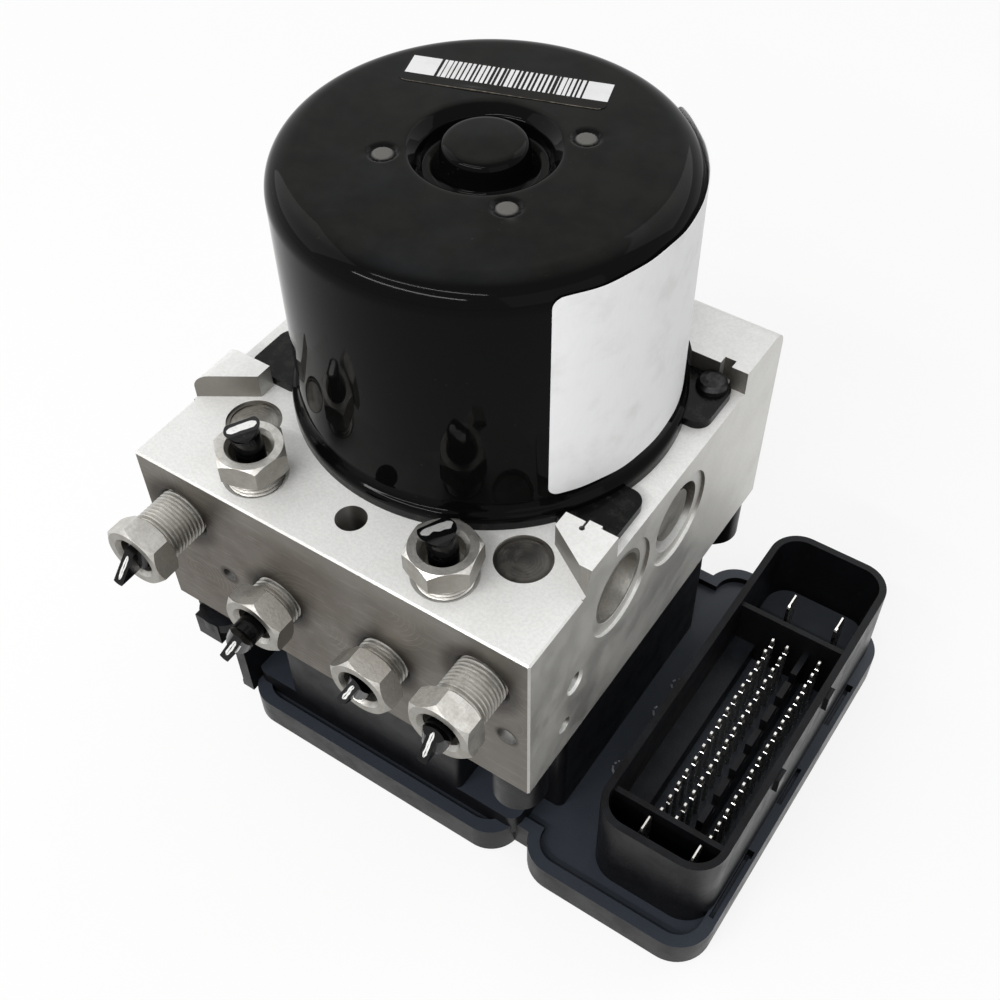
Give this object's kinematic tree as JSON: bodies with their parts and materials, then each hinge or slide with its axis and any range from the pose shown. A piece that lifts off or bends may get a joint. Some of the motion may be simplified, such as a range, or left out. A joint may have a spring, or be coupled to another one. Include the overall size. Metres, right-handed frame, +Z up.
{
  "type": "abs brake module",
  "caption": "Hydraulic anti-lock brake modulator: aluminium valve block, black motor can, cut brake pipes in their tube nuts, and a black electronics housing with an open connector shroud",
  "frame": {"origin": "centre of the motor axis on the underside of the electronics cover", "axes": "+Z up along the motor axis; +Y from the face with the four tube nuts towards the back; +X towards the connector"},
  "size_m": [0.143, 0.1277, 0.154],
  "materials": {
    "machined_aluminium": "milled, swirl scratches",
    "zinc_steel": "dull zinc plating",
    "coated_pipe": "plastic-coated steel pipe",
    "black_can": "gloss black coating",
    "black_plate": "satin black coating",
    "steel": "ground",
    "spring_steel": "drawn",
    "ferrite": "pressed and ground",
    "laminations": "stamped stack",
    "copper": "enamelled",
    "carbon": "pressed carbon",
    "housing_plastic": "moulded, glass filled",
    "inner_plastic": "moulded",
    "rubber": "moulded",
    "board": "laminate",
    "components": "moulded packages",
    "tinned_brass": "tin plated",
    "label_white": "blank self-adhesive film",
    "label_film": "clear film over a printed strip"
  },
  "bodies": {
    "module": {"valve_block": "machined_aluminium", "closure_discs": "zinc_steel", "accumulator_caps": "zinc_steel", "pump_plugs": "zinc_steel", "pump_sleeves": "steel", "accumulator_spring_right": "spring_steel", "accumulator_spring_left": "spring_steel", "pump_spring_right": "spring_steel", "pump_spring_left": "spring_steel", "tube_nuts": "zinc_steel", "pipe_stubs": "coated_pipe", "motor_can": "black_can", "motor_plate": "black_plate", "motor_screws": "zinc_steel", "magnets": "ferrite", "bearing_outer_rings": "steel", "lower_bearing": "steel", "brush_holder": "inner_plastic", "brush_spring_right": "spring_steel", "brush_spring_left": "spring_steel", "contact_tower": "inner_plastic", "valve_cartridges": "steel", "valve_coils": "copper", "coil_yokes": "steel", "ecu_housing": "housing_plastic", "housing_seal": "rubber", "ecu_cover": "housing_plastic", "circuit_board": "board", "board_parts": "components", "connector_pins": "tinned_brass", "connector_blades": "tinned_brass", "ecu_screws": "zinc_steel", "side_label": "label_white", "top_label": "label_film"},
    "rotor": {"armature_core": "laminations", "armature_windings": "copper", "commutator": "copper", "motor_shaft": "steel", "bearing_inner_rings": "steel", "bearing_balls": "steel"},
    "drive_ring": {"eccentric_ring": "steel"},
    "pump_piston_right": {"pump_piston_right": "steel"},
    "accumulator_piston_right": {"accumulator_piston_right": "inner_plastic"},
    "brush_right": {"brush_right": "carbon"},
    "pump_piston_left": {"pump_piston_left": "steel"},
    "accumulator_piston_left": {"accumulator_piston_left": "inner_plastic"},
    "brush_left": {"brush_left": "carbon"},
    "plunger_1": {"plunger_1": "steel"},
    "plunger_2": {"plunger_2": "steel"},
    "plunger_3": {"plunger_3": "steel"},
    "plunger_4": {"plunger_4": "steel"},
    "plunger_5": {"plunger_5": "steel"},
    "plunger_6": {"plunger_6": "steel"},
    "plunger_7": {"plunger_7": "steel"},
    "plunger_8": {"plunger_8": "steel"},
    "plunger_9": {"plunger_9": "steel"},
    "plunger_10": {"plunger_10": "steel"},
    "plunger_11": {"plunger_11": "steel"},
    "plunger_12": {"plunger_12": "steel"}
  },
  "joints": [
    {"name": "rotor_turn", "type": "hinge", "parent": "module", "child": "rotor", "pos_m": [0, 0, 0.12], "axis": [0, 0, 1], "continuous": true},
    {"name": "ring_turn", "type": "hinge", "parent": "rotor", "child": "drive_ring", "pos_m": [0, 0.0012, 0.0772], "axis": [0, 0, 1], "continuous": true},
    {"name": "pump_stroke_right", "type": "slide", "parent": "module", "child": "pump_piston_right", "axis": [1, 0, 0], "range_m": [0, 0.0024], "stiffness_N_per_m": 2000, "springref_m": -0.002, "deforming": ["pump_spring_right"]},
    {"name": "accumulator_stroke_right", "type": "slide", "parent": "module", "child": "accumulator_piston_right", "axis": [1, 0, 0], "range_m": [0, 0.008], "stiffness_N_per_m": 1000, "springref_m": -0.004, "deforming": ["accumulator_spring_right"]},
    {"name": "brush_slide_right", "type": "slide", "parent": "module", "child": "brush_right", "axis": [1, 0, 0], "range_m": [0, 0.003], "stiffness_N_per_m": 300, "springref_m": -0.004, "deforming": ["brush_spring_right"]},
    {"name": "pump_stroke_left", "type": "slide", "parent": "module", "child": "pump_piston_left", "axis": [-1, 0, 0], "range_m": [0, 0.0024], "stiffness_N_per_m": 2000, "springref_m": -0.002, "deforming": ["pump_spring_left"]},
    {"name": "accumulator_stroke_left", "type": "slide", "parent": "module", "child": "accumulator_piston_left", "axis": [-1, 0, 0], "range_m": [0, 0.008], "stiffness_N_per_m": 1000, "springref_m": -0.004, "deforming": ["accumulator_spring_left"]},
    {"name": "brush_slide_left", "type": "slide", "parent": "module", "child": "brush_left", "axis": [-1, 0, 0], "range_m": [0, 0.003], "stiffness_N_per_m": 300, "springref_m": -0.004, "deforming": ["brush_spring_left"]},
    {"name": "plunger_lift_1", "type": "slide", "parent": "module", "child": "plunger_1", "axis": [0, 0, 1], "range_m": [0, 0.0004]},
    {"name": "plunger_lift_2", "type": "slide", "parent": "module", "child": "plunger_2", "axis": [0, 0, 1], "range_m": [0, 0.0004]},
    {"name": "plunger_lift_3", "type": "slide", "parent": "module", "child": "plunger_3", "axis": [0, 0, 1], "range_m": [0, 0.0004]},
    {"name": "plunger_lift_4", "type": "slide", "parent": "module", "child": "plunger_4", "axis": [0, 0, 1], "range_m": [0, 0.0004]},
    {"name": "plunger_lift_5", "type": "slide", "parent": "module", "child": "plunger_5", "axis": [0, 0, 1], "range_m": [0, 0.0004]},
    {"name": "plunger_lift_6", "type": "slide", "parent": "module", "child": "plunger_6", "axis": [0, 0, 1], "range_m": [0, 0.0004]},
    {"name": "plunger_lift_7", "type": "slide", "parent": "module", "child": "plunger_7", "axis": [0, 0, 1], "range_m": [0, 0.0004]},
    {"name": "plunger_lift_8", "type": "slide", "parent": "module", "child": "plunger_8", "axis": [0, 0, 1], "range_m": [0, 0.0004]},
    {"name": "plunger_lift_9", "type": "slide", "parent": "module", "child": "plunger_9", "axis": [0, 0, 1], "range_m": [0, 0.0004]},
    {"name": "plunger_lift_10", "type": "slide", "parent": "module", "child": "plunger_10", "axis": [0, 0, 1], "range_m": [0, 0.0004]},
    {"name": "plunger_lift_11", "type": "slide", "parent": "module", "child": "plunger_11", "axis": [0, 0, 1], "range_m": [0, 0.0004]},
    {"name": "plunger_lift_12", "type": "slide", "parent": "module", "child": "plunger_12", "axis": [0, 0, 1], "range_m": [0, 0.0004]}
  ]
}
